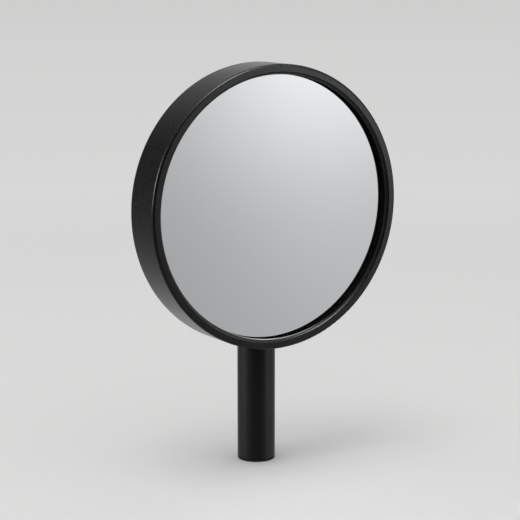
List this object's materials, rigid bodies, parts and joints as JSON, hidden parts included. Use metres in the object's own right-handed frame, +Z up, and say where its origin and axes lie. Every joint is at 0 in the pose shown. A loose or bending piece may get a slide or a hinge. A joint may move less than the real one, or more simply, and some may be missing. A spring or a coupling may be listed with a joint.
{
  "type": "extendable shaving mirror",
  "caption": "Round mirror in a deep satin-black drum on a telescopic round post that stands on a rubber foot; the head slides up, swivels and tips back.",
  "frame": {"origin": "on the floor under the rubber foot, on the axis of the column", "axes": "+Z up along the column, -Y is the way the mirror faces, +X along the hinge bolt to the side of its head"},
  "size_m": [0.2, 0.044, 0.287],
  "materials": {
    "satin_black_shell": "satin",
    "matt_black_column": "matte",
    "silvered_glass": "polished",
    "black_rubber": "matte",
    "black_moulding": "matte",
    "black_casting": "satin",
    "black_steel": "satin",
    "zinc_steel": "satin",
    "spring_steel": "satin",
    "stainless_tube": "satin",
    "plain_steel": "satin",
    "turned_brass": "satin",
    "pale_nylon": "matte",
    "black_nylon": "satin",
    "fibre_board": "matte"
  },
  "bodies": {
    "column": {"column_sleeve": "matt_black_column", "mouth_bush": "black_nylon", "ballast_weight": "plain_steel", "landing_buffer": "black_rubber", "rubber_foot": "black_rubber"},
    "slider": {"inner_tube": "stainless_tube", "tube_plug": "turned_brass", "guide_piston": "pale_nylon", "friction_rings": "black_rubber", "piston_pin": "spring_steel"},
    "swivel": {"swivel_yoke": "black_casting", "swivel_washer": "pale_nylon", "disc_spring": "spring_steel", "retaining_washer": "zinc_steel", "swivel_screw": "zinc_steel"},
    "head": {"rim_shell": "satin_black_shell", "glass_gasket": "black_rubber", "mirror_glass": "silvered_glass", "backing_pad": "fibre_board", "nut_plate": "zinc_steel", "carrier_plate": "black_moulding", "retaining_ring": "spring_steel", "rear_cover": "black_moulding", "cover_screws": "black_steel", "hinge_bracket": "black_casting", "bracket_screws": "zinc_steel", "hinge_bolt": "zinc_steel", "hinge_nut": "zinc_steel", "spring_washer": "spring_steel", "friction_washers": "pale_nylon"}
  },
  "joints": [
    {"name": "column_extend", "type": "slide", "parent": "column", "child": "slider", "axis": [0, 0, 1], "range_m": [0, 0.0843]},
    {"name": "head_swivel", "type": "hinge", "parent": "slider", "child": "swivel", "pos_m": [0, 0, 0.171], "axis": [0, 0, 1], "continuous": true},
    {"name": "head_tilt", "type": "hinge", "parent": "swivel", "child": "head", "pos_m": [0, 0, 0.187], "axis": [-1, 0, 0], "range_deg": [0, 45]}
  ]
}
